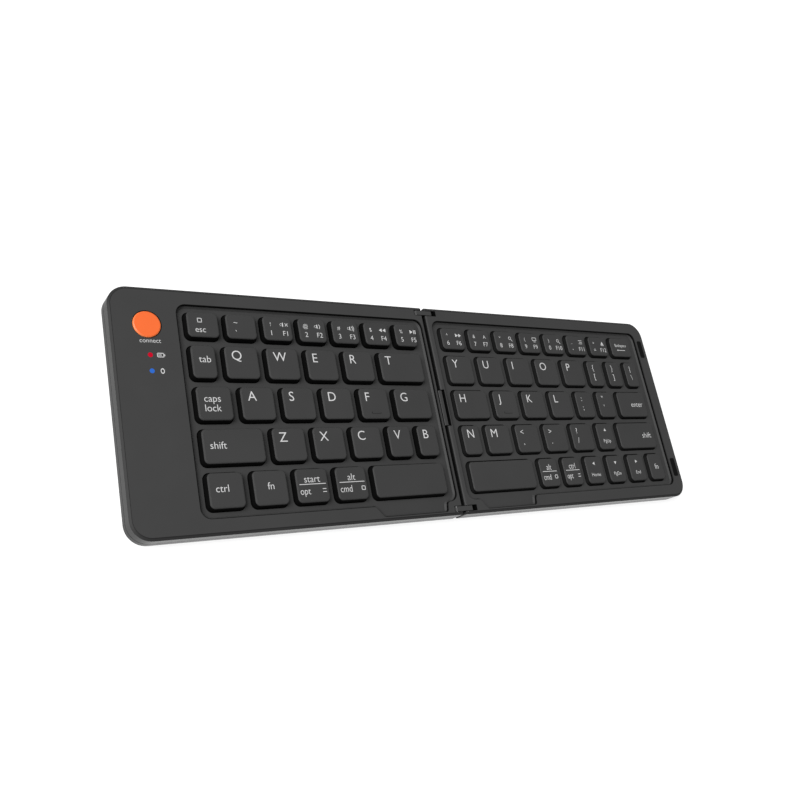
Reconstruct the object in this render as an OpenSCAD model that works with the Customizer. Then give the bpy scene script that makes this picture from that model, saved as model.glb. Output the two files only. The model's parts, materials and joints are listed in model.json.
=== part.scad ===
// Two-part folding keyboard, opened flat.
// Millimetres. The origin is at the middle of the underside, X runs along the keyboard,
// Y from the typist's side to the back, and Z up from the desk.

/* [Keys] */
// Distance from one letter key to the next
key_pitch = 17.9; // [17.5:0.1:19]
// Distance from one row to the next
row_pitch = 17; // [16.5:0.1:19]
// Gap between the feet of neighbouring keys in the letter rows
key_gap = 2.9; // [2.4:0.1:3.4]
// Gap between the feet of neighbouring keys in the number row
number_gap = 2.3; // [2:0.1:2.8]
// Gap between the feet of keys in neighbouring rows
row_gap = 2.5; // [2.2:0.1:3]
// Depth of a number key at its foot
number_depth = 11.5; // [11:0.1:13]
// Radius of a key's upright corners at its foot
key_corner_r = 2.4; // [2:0.1:2.8]
// How far a key's sides lean inwards
key_draft = 0.4; // [0.2:0.05:0.6]
// Size of the rounding round a key's top
key_edge = 0.7; // [0.3:0.05:0.9]
// How far a key travels when it is pressed
key_travel = 1.5; // [1:0.1:1.6]
// Height of the left half's keys above the well they stand in
left_key_rise = 3; // [2.4:0.1:3.2]
// Height of the right half's keys above the well they stand in
right_key_rise = 2; // [1.6:0.1:2.2]
// How far a key's foot reaches below the floor of the well
key_skirt = 0.6; // [0.4:0.1:0.8]
// Thickness of a keycap's sides
cap_wall = 0.8; // [0.6:0.1:0.9]
// Thickness of a keycap's top
cap_top = 1.1; // [0.9:0.1:1.3]
// Gap between a key and its opening, all round
key_clearance = 0.35; // [0.3:0.05:0.5]
// Length of the raised bar on the two home keys
home_bar = 4.4; // [3.5:0.1:5]

/* [Wells and rims] */
// Width of the control panel at the left end
panel_w = 26.15; // [25.5:0.05:32]
// Depth of the wells below the top face
well_depth = 1.9; // [1.7:0.1:2.1]
// Radius of the wells' corners
well_r = 4; // [3:0.5:5]
// Width of the slope at the foot of a well's wall
well_slope = 0.8; // [0.6:0.1:1.4]
// Small chamfer along the upper edge of a well
well_lip = 0.25; // [0.15:0.05:0.3]
// Keys to the well's wall at the left end
left_margin = 2.95; // [2.6:0.05:3.5]
// Keys to the well's wall at the right end
right_margin = 5; // [4.6:0.1:5.6]
// Left half's keys to the well's wall beside the seam
left_seam_margin = 4.55; // [4.4:0.05:5.6]
// Right half's keys to the well's wall beside the seam
right_seam_margin = 3.77; // [2.6:0.01:4.2]
// Keys to the well's wall at the front and back
row_margin = 2.75; // [2.4:0.05:3.4]
// Width of the front rim
front_rim = 6.4; // [6:0.1:8]
// Width of the back rim
back_rim = 6.4; // [6.2:0.1:8]
// Width of the rim at the right end
right_rim = 7.1; // [6.9:0.1:9]
// Width of the left half's rim beside the seam
left_seam_rim = 1.42; // [1:0.02:1.6]
// Width of the right half's rim beside the seam
right_seam_rim = 2.85; // [2.8:0.01:4.5]
// Gap between the two halves
seam_gap = 1.6; // [1.3:0.05:1.8]

/* [Case] */
// Thickness of each half without its feet
case_t = 8.4; // [8.2:0.1:9]
// Thickness of the bottom shell's floor
floor_t = 1.1; // [1:0.1:1.3]
// Thickness of the bottom shell's walls
wall_t = 1.6; // [1.5:0.1:1.8]
// Thickness of the key deck under the wells
deck_t = 1; // [0.9:0.1:1.2]
// Height of the bevel round the top face
bevel_h = 0.6; // [0.4:0.1:0.8]
// Width of the bevel round the top face
bevel_w = 1; // [0.6:0.1:1.2]
// Chamfer round the underside
base_chamfer = 0.3; // [0.2:0.1:1]
// Height of the parting groove above the underside
groove_z = 3.1; // [2.5:0.1:3.4]
// Width and depth of the parting groove
groove = 0.3; // [0.2:0.05:0.4]
// Radius of the four outer corners
corner_r = 8; // [6:0.5:9]
// Radius of the corners beside the seam
seam_r = 0.6; // [0.5:0.1:1.8]
// Bevel on the left half's edge at the seam
left_seam_bevel = 0.35; // [0.2:0.05:0.5]
// Rounding of the right half's edge at the seam
right_seam_round = 1.2; // [0.5:0.05:1.4]
// Gap between the lip of a top frame and the wall round it
lip_gap = 0.1; // [0.05:0.05:0.2]

/* [Finger scoops] */
// Width of the rim left in front of a scoop
scoop_rim = 1.9; // [1.6:0.1:2.4]
// Length of the left half's scoop
left_scoop = 36.5; // [25:0.1:45]
// Length of the right half's scoop
right_scoop = 32.9; // [25:0.1:45]
// Left half's scoop to the well's corner beside the seam
left_scoop_start = 5.5; // [5:0.1:9]
// Right half's scoop to the well's corner beside the seam
right_scoop_start = 6.5; // [5:0.1:9]
// How far the left end of each scoop slants
scoop_slant = 3.5; // [0:0.1:4]
// How far the right end of each scoop leans
scoop_lean = 0.8; // [0:0.1:2]
// Radius of the scoops' corners
scoop_r = 1.2; // [0.9:0.1:1.5]

/* [Hinge] */
// Half the height of a hinge link
link_r = 2; // [1.8:0.05:2.1]
// How far a link's round ends reach beyond half its height
link_bulge = 0.3; // [0.1:0.05:0.3]
// Thickness of a hinge link
link_t = 2.1; // [2:0.1:2.7]
// Middle of a hinge link from the front or back face
link_inset = 2.65; // [2.6:0.05:3]
// Left pivot to the left half's seam edge
left_pivot = 1.65; // [1.6:0.05:1.9]
// Right pivot to the right half's seam edge
right_pivot = 2.6; // [2.5:0.05:2.7]
// Radius of a hinge pin
pin_r = 0.8; // [0.6:0.05:0.9]
// Radial clearance of a pin in the half that turns on it
pin_clearance = 0.05; // [0.03:0.01:0.08]
// How far a pin runs into the material on each side of its link
pin_hold = 0.9; // [0.6:0.1:0.9]
// Gap between a link and its slot
link_clearance = 0.3; // [0.3:0.05:0.4]
// Extra length of the slots in the right half
slot_extra = 1.5; // [1:0.1:2.4]

/* [Cable tongue] */
// Length of the tongue along the seam
tongue_l = 16.5; // [14:0.5:18]
// How far the tongue stands out of the left half
tongue_reach = 2.8; // [1.9:0.1:2.9]
// How far the tongue lies below the top face
tongue_drop = 0.4; // [0.3:0.05:0.6]
// How far the groove behind the tongue cuts into the left half's rim
tongue_groove = 0.45; // [0.3:0.05:0.5]
// Gap in front of the tongue, in the right half's notch
tongue_gap = 0.85; // [0.8:0.05:1.6]
// Width of the ribbon cable
ribbon_w = 12; // [8:0.5:13]
// Thickness of the ribbon cable
ribbon_t = 0.2; // [0.1:0.05:0.3]

/* [Control panel] */
// Diameter of the connect button
button_d = 10.7; // [9:0.1:12]
// Button and lights from the left end
button_inset = 14.1; // [12.5:0.1:15]
// Button from the back face
button_back = 15.5; // [14:0.1:17]
// How far the button stands above the panel
button_rise = 0.3; // [0.1:0.05:0.5]
// Travel of the button
button_travel = 0.6; // [0.4:0.1:0.7]
// Gap round the button
button_gap = 0.3; // [0.25:0.05:0.4]
// Radius of a light pipe
light_r = 0.95; // [0.7:0.05:1.2]
// Button to the first light
light_drop = 12.45; // [10:0.05:14]
// First light to the second
light_pitch = 6.4; // [5:0.1:8]

/* [Inside] */
// Height of the ribs on the shell's floor
rib_h = 0.6; // [0.4:0.1:0.8]
// Thickness of the ribs
rib_t = 1.2; // [1:0.1:1.6]
// Thickness of the metal support plates
plate_t = 0.5; // [0.4:0.05:0.6]
// Thickness of the contact membranes
membrane_t = 0.3; // [0.2:0.05:0.4]
// Radius of a rubber dome
dome_r = 1.65; // [1.4:0.05:1.8]
// Height of a rubber dome pressed flat
dome_h = 2.2; // [1.8:0.1:2.4]
// Width of a scissor lift
lift_w = 6.8; // [6.6:0.1:7]
// Length of a scissor lift
lift_l = 7.6; // [7:0.1:8]
// Width of a scissor lift's bars
lift_bar = 0.7; // [0.5:0.05:0.75]
// Slope of a scissor lift's arms in degrees
lift_angle = 9; // [5:0.5:11]
// Length of the battery
battery_l = 50; // [40:1:52]
// Width of the battery
battery_w = 19; // [16:0.5:19.5]
// Thickness of the battery
battery_t = 3.6; // [3:0.1:3.8]
// Width of the control board
board_w = 20; // [18:0.5:20]
// Length of the control board
board_l = 36; // [34:0.5:37]
// Thickness of the control board
board_t = 0.8; // [0.6:0.1:1]

/* [Charge port, screws and feet] */
// Width of the charge port
port_w = 9; // [8.9:0.1:9.4]
// Height of the charge port
port_h = 3.2; // [3.1:0.1:3.3]
// Length of the charge port
port_l = 7.3; // [6.5:0.1:8]
// Thickness of the port's metal sleeve
port_wall = 0.3; // [0.2:0.05:0.4]
// Radius of a case screw
screw_r = 0.8; // [0.6:0.05:0.9]
// Radius of a case screw's head
screw_head_r = 1.5; // [1.3:0.1:1.6]
// Screws from the front or back face
screw_inset = 4.3; // [4.2:0.1:4.5]
// Screws beside the seam from the halves' seam edges
screw_seam_inset = 12; // [10:0.5:16]
// Screws at the right end from the end face
screw_end_inset = 6.5; // [6:0.5:8]
// Radius of a foot
foot_r = 5; // [4:0.5:6]
// How far a foot stands out of the underside
foot_h = 0.4; // [0.4:0.1:1]
// How deep a foot sits in the underside
foot_seat = 0.3; // [0.2:0.05:0.5]
// Feet from the two end faces
foot_end_inset = 16; // [14:0.5:20]
// Feet from the halves' seam edges
foot_seam_inset = 14; // [12:0.5:18]
// Feet from the front and back faces
foot_side_inset = 13; // [11:0.5:16]
// Length of a rest pad
pad_l = 9.6; // [7:0.2:12]
// Width of a rest pad
pad_w = 2.9; // [2.4:0.1:3.2]
// Radius of a rest pad's corners
pad_r = 0.8; // [0.5:0.1:1.2]
// Middle of a rest pad from the right end face
pad_inset = 4.3; // [4:0.1:4.6]
// How far a rest pad stands above the top face
pad_rise = 0.3; // [0.1:0.05:0.5]
// Depth of a rest pad's seat
pad_seat = 0.7; // [0.5:0.1:0.9]
// Rest pads from the middle, front to back
pad_y = 33.4; // [25:0.1:36]

/* [Hidden] */
$fn = 48;
over = 1;

// Nominal widths as shares of the letter pitch
number_u = 0.897;
narrow_u = 0.765;
small_u = 0.845;
shift_u = 1.606;
wide_u = 1.268;
top_u = 1.011;
bracket_u = 0.775;
space_u = 2.307;
left_span_u = 6.066;
right_span_u = 7.153;

LEFT = 0;
RIGHT = 1;

// Names of the keys, row by row from the front, left half and right half
key_names = [
    [["left_ctrl", "left_fn", "start", "left_alt", "left_space"],
     ["left_shift", "z", "x", "c", "v", "b"],
     ["caps_lock", "a", "s", "d", "f", "g"],
     ["tab", "q", "w", "e", "r", "t"],
     ["esc", "grave", "one", "two", "three", "four", "five"]],
    [["right_space", "right_alt", "right_ctrl", "arrow_left", "arrow_down", "arrow_right", "right_fn"],
     ["n", "m", "comma", "period", "slash", "arrow_up", "right_shift"],
     ["h", "j", "k", "l", "semicolon", "quote", "enter"],
     ["y", "u", "i", "o", "p", "bracket_left", "bracket_right", "backslash"],
     ["six", "seven", "eight", "nine", "zero", "minus", "equals", "backspace"]]
];

// Steps from key to key in the same rows; the last key of a row runs to the row's end
key_steps = [
    [[1, 1, 1, 1],
     [shift_u, 1, 1, 1, small_u],
     [1, 1, 1, 1, 1],
     [narrow_u, 1, 1, 1, 1],
     [for (i = [1:6]) number_u]],
    [[space_u, small_u, small_u, small_u, small_u, small_u],
     [narrow_u, 1, 1, 1, 1, small_u],
     [wide_u, 1, 1, 1, small_u, small_u],
     [top_u, top_u, top_u, top_u, top_u, bracket_u, bracket_u],
     [for (i = [1:7]) number_u]]
];
NUMBER_ROW = 4;

// Places along X
left_span = left_span_u * key_pitch;
right_span = right_span_u * key_pitch;
body_w = panel_w + left_margin + left_span + left_seam_margin + left_seam_rim + seam_gap
    + right_seam_rim + right_seam_margin + right_span + right_margin + right_rim;
left_x0 = -body_w / 2;
left_well_x0 = left_x0 + panel_w;
left_keys_x0 = left_well_x0 + left_margin;
left_well_x1 = left_keys_x0 + left_span + left_seam_margin;
left_x1 = left_well_x1 + left_seam_rim;
right_x0 = left_x1 + seam_gap;
right_well_x0 = right_x0 + right_seam_rim;
right_keys_x0 = right_well_x0 + right_seam_margin;
right_well_x1 = right_keys_x0 + right_span + right_margin;
right_x1 = right_well_x1 + right_rim;
half_x0 = [left_x0, right_x0];
half_x1 = [left_x1, right_x1];
well_x0 = [left_well_x0, right_well_x0];
well_x1 = [left_well_x1, right_well_x1];
keys_x0 = [left_keys_x0, right_keys_x0];
keys_span = [left_span, right_span];

// Places along Y
keys_d = NUMBER_ROW * row_pitch + number_depth;
body_d = front_rim + 2 * row_margin + keys_d + back_rim;
front_y = -body_d / 2;
back_y = body_d / 2;
well_y0 = front_y + front_rim;
well_y1 = back_y - back_rim;
letter_depth = row_pitch - row_gap;

// Heights
base_z = foot_h;
top_z = base_z + case_t;
wall_top_z = top_z - bevel_h;
well_z = top_z - well_depth;
slope_h = well_slope * 0.8;
deck_z = well_z - deck_t;
floor_z = base_z + floor_t;
plate_z = floor_z + rib_h;
membrane_z = plate_z + plate_t;
switch_z = membrane_z + membrane_t;
key_foot_z = well_z - key_skirt;
key_rise = [left_key_rise, right_key_rise];

// Hinge
pivot_x = [left_x1 - left_pivot, right_x0 + right_pivot];
pivot_z = top_z - link_r;
link_end_r = link_r + link_bulge;
slot_z = pivot_z - link_end_r - link_clearance;
slot_half_t = link_t / 2 + link_clearance;
slot_x0 = [pivot_x[LEFT] - link_end_r - link_clearance, right_x0 - over];
slot_x1 = [left_x1 + over, pivot_x[RIGHT] + link_end_r + slot_extra];
pin_end_gap = 0.3;
hinge_block_t = 1;
hinge_block_floor = 0.3;
hinge_block_x0 = [slot_x0[LEFT] - hinge_block_t, right_x0];
hinge_block_x1 = [left_x1, slot_x1[RIGHT] + hinge_block_t];

// Cable tongue and its notch
tongue_x1 = left_x1 + tongue_reach;
tongue_body = 2.3;
tongue_gap_y = 0.35;
tongue_low_z = floor_z + 1.6;
notch_drop = 0.5;
tongue_neck_z = deck_z - 1.1;
notch_x1 = tongue_x1 + tongue_gap;
tongue_bevel = 0.5;
tunnel_h = 1;
slit_z = tongue_low_z + 0.6;

// Control panel
button_x = left_x0 + button_inset;
button_y = back_y - button_back;
light_y = [button_y - light_drop, button_y - light_drop - light_pitch];
button_r = button_d / 2;
button_flange = 1;
button_flange_t = 0.7;
flange_z = deck_z - 0.3;
button_foot_z = flange_z - button_flange_t;

// Control board, battery and charge port
board_x0 = button_x - board_w / 2;
board_y1 = back_y - wall_t - 0.6;
board_y0 = board_y1 - board_l;
board_z = floor_z;
board_top_z = board_z + board_t;
battery_y1 = board_y0 - 1.5;
port_x = button_x;
port_y1 = back_y - 0.5;
port_z = board_top_z + port_h / 2;
port_gap = 0.1;
port_tongue = 0.7;
chip_h = 1.2;
tact_h = 1.7;
lamp_h = 0.6;

// Screws, feet and pads
boss_r = 1.7;
boss_gap = 0.4;
screw_x0 = [button_x + max(board_w, battery_w) / 2 + boss_gap + boss_r, right_x0 + screw_seam_inset];
screw_x1 = [left_x1 - screw_seam_inset, right_x1 - screw_end_inset];
screw_top_gap = 0.3;
pad_x = right_x1 - pad_inset;
foot_x = [[left_x0 + foot_end_inset, left_x1 - foot_seam_inset],
    [right_x0 + foot_seam_inset, right_x1 - foot_end_inset]];
foot_y = body_d / 2 - foot_side_inset;

case_grey = [0.62, 0.63, 0.65];
frame_black = [0.2, 0.2, 0.21];
key_black = [0.17, 0.17, 0.18];
steel = [0.7, 0.71, 0.73];
film = [0.45, 0.62, 0.55];
rubber_black = [0.06, 0.06, 0.06];

// Sum of the first n entries of a list
function sum_to(list, n) = n <= 0 ? 0 : list[n - 1] + sum_to(list, n - 1);

// Place and size of key i in a row
function key_x(side, row, i) = keys_x0[side] + key_pitch * sum_to(key_steps[side][row], i);
function key_y(row) = well_y0 + row_margin + row * row_pitch;
function key_w(side, row, i) = i < len(key_steps[side][row])
    ? key_steps[side][row][i] * key_pitch - (row == NUMBER_ROW ? number_gap : key_gap)
    : keys_x0[side] + keys_span[side] - key_x(side, row, i);
function key_d(row) = row == NUMBER_ROW ? number_depth : letter_depth;
function row_last(side, row) = len(key_names[side][row]) - 1;
function find_key(name) = [
    for (side = [LEFT, RIGHT]) for (row = [0:NUMBER_ROW]) for (i = [0:row_last(side, row)])
        if (key_names[side][row][i] == name) [side, row, i]
][0];

// Points of a quarter round of radius r, from its upright start to its level end
function quarter_round(r, n) = [for (i = [0:n]) [r * (1 - cos(90 * i / n)), r * sin(90 * i / n) - r]];

// Points of a round corner of radius r at q, where sides in the directions u and v meet
function unit(v) = v / norm(v);
function corner_run(u, v, r) = r * sqrt((1 + u * v) / (1 - u * v));
function corner_arc(c, a, b, r, n) = [
    for (i = [0:n]) c + r * unit((a - c) * (1 - i / n) + (b - c) * (i / n))
];
function round_corner(q, u, v, r, n) = corner_arc(q + unit(u + v) * (r / sqrt((1 - u * v) / 2)),
    q + u * corner_run(u, v, r), q + v * corner_run(u, v, r), r, n);

// Flat rectangle with round corners
module round_rect(w, d, r) {
    translate([r, 0]) square([w - 2 * r, d]);
    translate([0, r]) square([w, d - 2 * r]);
    for (x = [r, w - r]) for (y = [r, d - r]) translate([x, y]) circle(r);
}

// Straight bar whose cross-section is a profile of [inset, height] on both sides
module profile_bar(w, l, low, high) {
    rotate([90, 0, 0]) translate([0, 0, -l]) linear_extrude(l) polygon(concat(
        low, [for (i = [len(high) - 1:-1:0]) [w - high[i][0], high[i][1]]]));
}

// Block with round upright corners whose sides follow one profile all round
module soft_block(w, d, r, sides) {
    z0 = sides[0][1];
    z1 = sides[len(sides) - 1][1];
    out = over + max([for (s = sides) -s[0]]);
    difference() {
        intersection() {
            translate([0, -out, 0]) profile_bar(w, d + 2 * out, sides, sides);
            translate([-out, 0, 0]) mirror([1, -1, 0])
                profile_bar(d, w + 2 * out, sides, sides);
        }
        for (x = [-out, w - r]) for (y = [-out, d - r])
            translate([x, y, z0 - over]) cube([r + out, r + out, z1 - z0 + 2 * over]);
    }
    for (x = [r, w - r]) for (y = [r, d - r]) translate([x, y, 0]) rotate_extrude()
        polygon(concat([[0, z0]], [for (s = sides) [r - s[0], s[1]]], [[0, z1]]));
}

// Outline of one half with only the two corners beside the seam rounded
module seam_outline(side) {
    x0 = half_x0[side];
    x1 = half_x1[side];
    seam_x = side == LEFT ? x1 - seam_r : x0 + seam_r;
    translate([side == LEFT ? x0 : seam_x, front_y]) square([x1 - x0 - seam_r, body_d]);
    translate([x0, front_y + seam_r]) square([x1 - x0, body_d - 2 * seam_r]);
    for (y = [front_y + seam_r, back_y - seam_r]) translate([seam_x, y]) circle(seam_r);
}

// Slab with the plan of one half: a profile on its outer sides and another along the seam
module half_slab(side, sides, seam_sides) {
    x0 = half_x0[side];
    w = half_x1[side] - x0;
    z0 = sides[0][1];
    z1 = sides[len(sides) - 1][1];
    cut_x = side == LEFT ? x0 - over : x0 + w - corner_r;
    axis_x = side == LEFT ? x0 + corner_r : x0 + w - corner_r;
    difference() {
        intersection() {
            translate([x0, front_y - over, 0]) profile_bar(w, body_d + 2 * over,
                side == LEFT ? sides : seam_sides, side == LEFT ? seam_sides : sides);
            translate([x0 - over, front_y, 0]) mirror([1, -1, 0])
                profile_bar(body_d, w + 2 * over, sides, sides);
            translate([0, 0, z0 - over]) linear_extrude(z1 - z0 + 2 * over) seam_outline(side);
        }
        for (y = [front_y - over, back_y - corner_r])
            translate([cut_x, y, z0 - over]) cube([corner_r + over, corner_r + over, z1 - z0 + 2 * over]);
    }
    for (y = [front_y + corner_r, back_y - corner_r]) translate([axis_x, y, 0]) rotate_extrude()
        polygon(concat([[0, z0]], [for (s = sides) [corner_r - s[0], s[1]]], [[0, z1]]));
}

// Space inside the walls of one half, open along the seam where open_seam is true
module half_inside(side, gap, z0, z1, open_seam) {
    inner_r = corner_r - wall_t - gap;
    inset = wall_t + gap;
    seam_inset = open_seam ? 0 : inset;
    x0 = half_x0[side] + (side == LEFT ? inset : seam_inset);
    x1 = half_x1[side] - (side == LEFT ? seam_inset : inset);
    round_x = side == LEFT ? x0 + inner_r : x1 - inner_r;
    translate([0, 0, z0]) linear_extrude(z1 - z0) {
        translate([side == LEFT ? round_x : x0, front_y + inset])
            square([x1 - x0 - inner_r, body_d - 2 * inset]);
        translate([x0, front_y + inset + inner_r])
            square([x1 - x0, body_d - 2 * (inset + inner_r)]);
        for (y = [front_y + inset + inner_r, back_y - inset - inner_r])
            translate([round_x, y]) circle(inner_r);
    }
}

// Front and back hinge slots of one half
module link_slots(side) {
    for (y = [front_y + link_inset, back_y - link_inset])
        translate([slot_x0[side], y - slot_half_t, slot_z])
            cube([slot_x1[side] - slot_x0[side], 2 * slot_half_t, top_z - slot_z + over]);
}

// Bores that a half turns on, round the hinge pins
module pin_bores(side) {
    bore_l = link_t + 2 * pin_hold + 2 * link_clearance;
    for (y = [front_y + link_inset, back_y - link_inset])
        translate([pivot_x[side], y, pivot_z]) rotate([90, 0, 0])
            cylinder(h = bore_l, r = pin_r + pin_clearance, center = true);
}

// Room for the tongue: its notch in the right half, its neck and groove in the left half
module tongue_room(side) {
    room_l = tongue_l + 2 * tongue_gap_y;
    if (side == RIGHT)
        translate([right_x0 - over, -room_l / 2, tongue_low_z - notch_drop])
            cube([notch_x1 - right_x0 + over, room_l, top_z]);
    else
        translate([left_x1 - tongue_groove, -tongue_l / 2, deck_z - over])
            cube([tongue_groove + over, tongue_l, top_z]);
}

// Opening in the left half's wall that holds the tongue
module tongue_seat() {
    translate([left_x1 - wall_t - over, -tongue_l / 2, tongue_low_z])
        cube([wall_t + 2 * over, tongue_l, tongue_neck_z - tongue_low_z]);
}

// Tunnel that lets the ribbon cable into the right half
module ribbon_tunnel() {
    translate([notch_x1 - over, -ribbon_w / 2 - tongue_gap_y, slit_z - tunnel_h / 2])
        cube([wall_t + 2 * over, ribbon_w + 2 * tongue_gap_y, tunnel_h]);
}

// Blocks below the deck that hold the hinge pins, larger by a gap where they are seats
module hinge_blocks(side, gap, z1) {
    near_y = well_y1;
    far_y = body_d / 2 - wall_t - lip_gap;
    x0 = hinge_block_x0[side] - (side == LEFT ? gap : over * gap);
    x1 = hinge_block_x1[side] + (side == RIGHT ? gap : over * gap);
    z0 = slot_z - hinge_block_floor - gap;
    for (y = [-far_y - gap, near_y - gap])
        translate([x0, y, z0]) cube([x1 - x0, far_y - near_y + 2 * gap, z1 - z0]);
}

// Places of one half's case screws
module at_screws(side) {
    for (k = [0, 0.5, 1]) for (y = [front_y + screw_inset, back_y - screw_inset])
        translate([screw_x0[side] * (1 - k) + screw_x1[side] * k, y, 0]) children();
}

// Places of one half's feet
module at_feet(side) {
    for (x = foot_x[side]) for (y = [-foot_y, foot_y]) translate([x, y, 0]) children();
}

// Round cut along the right half's edge at the seam
module seam_round_cut() {
    translate([right_x0, body_d / 2 + over, top_z]) rotate([90, 0, 0]) linear_extrude(body_d + 2 * over)
        polygon(concat([[right_seam_round, over], [-over, over], [-over, -right_seam_round]],
            quarter_round(right_seam_round, 6)));
}

module bottom_shell(side) {
    wall = [[base_chamfer, base_z], [0, base_z + base_chamfer], [0, base_z + groove_z],
        [groove, base_z + groove_z], [groove, base_z + groove_z + groove],
        [0, base_z + groove_z + groove], [0, wall_top_z]];
    notch_block_l = tongue_l + 2 * tongue_gap_y + 2 * wall_t;
    rib_l = well_x1[side] - well_x0[side] - 2 * wall_t;
    difference() {
        union() {
            difference() {
                half_slab(side, wall, wall);
                half_inside(side, 0, floor_z, top_z, false);
                half_inside(side, 0, deck_z, top_z, true);
            }
            for (k = [-2, -1, 1, 2])
                translate([well_x0[side] + wall_t, k * row_pitch - rib_t / 2, floor_z])
                    cube([rib_l, rib_t, rib_h]);
            if (side == RIGHT)
                translate([right_x0, -notch_block_l / 2, floor_z])
                    cube([notch_x1 - right_x0 + wall_t, notch_block_l, deck_z - floor_z]);
        }
        link_slots(side);
        pin_bores(side);
        hinge_blocks(side, lip_gap, top_z);
        if (side == LEFT) {
            tongue_seat();
            port_shape(port_w / 2 + port_gap, port_h / 2 + port_gap, back_y + over, wall_t + 2 * over);
        } else {
            tongue_room(side);
            ribbon_tunnel();
            seam_round_cut();
        }
        at_screws(side) {
            translate([0, 0, base_z - over]) cylinder(h = floor_t + 2 * over, r = screw_r + lip_gap);
            translate([0, 0, base_z]) cylinder(h = screw_head_r - screw_r, r1 = screw_head_r, r2 = screw_r);
            translate([0, 0, base_z - over]) cylinder(h = over, r = screw_head_r);
        }
        at_feet(side) translate([0, 0, base_z - over]) cylinder(h = foot_seat + over, r = foot_r);
    }
}

module top_frame(side) {
    edge = [[0, wall_top_z], [bevel_w, top_z]];
    seam_edge = side == RIGHT ? [[0, wall_top_z], [0, top_z]]
        : [[0, wall_top_z], [0, top_z - min(left_seam_bevel, bevel_h * 0.9)], [left_seam_bevel, top_z]];
    difference() {
        union() {
            half_slab(side, edge, seam_edge);
            half_inside(side, lip_gap, deck_z, wall_top_z, true);
            hinge_blocks(side, 0, deck_z);
            at_screws(side) translate([0, 0, floor_z]) cylinder(h = deck_z - floor_z, r = boss_r);
        }
        well_pocket(side);
        key_openings(side);
        link_slots(side);
        pin_bores(side);
        tongue_room(side);
        at_screws(side) translate([0, 0, floor_z - over])
            cylinder(h = deck_z - floor_z + over + screw_top_gap, r = screw_r);
        if (side == LEFT) panel_holes();
        else {
            at_pads() linear_extrude(pad_seat + over) pad_outline();
            seam_round_cut();
        }
    }
}

// Profile of the walls round a well, from the floor to above the top face
well_wall = [[well_slope, well_z], [0, well_z + slope_h], [0, top_z - well_lip],
    [-well_lip, top_z], [-well_lip, top_z + over]];

// Well that the keys stand in, with its finger scoop in the front rim
module well_pocket(side) {
    translate([well_x0[side], well_y0, 0])
        soft_block(well_x1[side] - well_x0[side], well_y1 - well_y0, well_r, well_wall);
    finger_scoop(side);
}

// Straight wall from p to q: the room on its left, or with a negative reach the solid on its right
module wall_side(p, q, reach, extra) {
    low_z = reach < 0 ? well_z - over : well_z;
    translate([p[0], p[1], 0]) rotate(atan2(q[1] - p[1], q[0] - p[0])) translate([-extra, 0, 0])
        rotate([90, 0, 90]) linear_extrude(norm(q - p) + 2 * extra) polygon(concat(
            [[reach, top_z + over], [reach, low_z]], reach < 0 ? [[well_slope, low_z]] : [], well_wall));
}

// Scoop with round corners whose walls have the wells' profile
module finger_scoop(side) {
    x0 = side == LEFT ? left_well_x1 - left_scoop_start - left_scoop : right_well_x0 + right_scoop_start;
    x1 = x0 + (side == LEFT ? left_scoop : right_scoop);
    outer_y = front_y + scoop_rim;
    back_l = [x0, well_y0];
    front_l = [x0 + scoop_slant, outer_y];
    front_r = [x1 - scoop_lean, outer_y];
    back_r = [x1, well_y0];
    start = round_corner(back_l, [-1, 0], unit(front_l - back_l), scoop_r, 2);
    end = round_corner(back_r, unit(front_r - back_r), [1, 0], scoop_r, 2);
    wall = concat([start[2]], round_corner(front_l, unit(back_l - front_l), [1, 0], scoop_r, 2),
        round_corner(front_r, [-1, 0], unit(back_r - front_r), scoop_r, 2), [end[0]]);
    difference() {
        translate([x0 - over, outer_y - over, well_z])
            cube([x1 - x0 + 2 * over, well_y0 - outer_y + well_slope + 1.3 * over, well_depth + over]);
        for (i = [0:len(wall) - 2]) wall_side(wall[i], wall[i + 1], -20, 20);
    }
    for (i = [0, 1]) {
        wall_side(start[i], start[i + 1], 2, 0.6);
        wall_side(end[i], end[i + 1], 2, 0.6);
    }
}

module key_openings(side) {
    for (row = [0:NUMBER_ROW]) for (i = [0:row_last(side, row)])
        translate([key_x(side, row, i) - key_clearance, key_y(row) - key_clearance, deck_z - over])
            linear_extrude(deck_t + 2 * over)
                round_rect(key_w(side, row, i) + 2 * key_clearance, key_d(row) + 2 * key_clearance,
                    key_corner_r + key_clearance);
}

module panel_holes() {
    translate([button_x, button_y, deck_z - over])
        cylinder(h = top_z, r = button_r + button_gap);
    for (y = light_y) translate([button_x, y, deck_z - over]) cylinder(h = top_z, r = light_r);
}

// Keycap: leaning sides, round top edge, hollow below
module keycap(side, w, d) {
    z1 = well_z + key_rise[side];
    sides = concat([[0, key_foot_z], [0, well_z]],
        [for (p = quarter_round(key_edge, 3)) [key_draft + p[0], z1 + p[1]]]);
    inner = cap_wall + key_draft;
    difference() {
        soft_block(w, d, key_corner_r, sides);
        translate([inner, inner, key_foot_z - over])
            cube([w - 2 * inner, d - 2 * inner, z1 - cap_top - key_foot_z + over]);
    }
}

// One key in its place
module key(name) {
    place = find_key(name);
    side = place[0];
    row = place[1];
    w = key_w(side, row, place[2]);
    translate([key_x(side, row, place[2]), key_y(row), 0]) {
        keycap(side, w, key_d(row));
        if (name == "f" || name == "j")
            translate([w / 2 - home_bar / 2, key_draft + 2.4, well_z + key_rise[side] - 0.1])
                cube([home_bar, 0.7, 0.35]);
    }
}

module keys(names) {
    color(key_black) for (name = names) key(name);
}

// Places of the middles of all keys of one half
module at_keys(side) {
    for (row = [0:NUMBER_ROW]) for (i = [0:row_last(side, row)])
        translate([key_x(side, row, i) + key_w(side, row, i) / 2, key_y(row) + key_d(row) / 2, 0])
            children();
}

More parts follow.
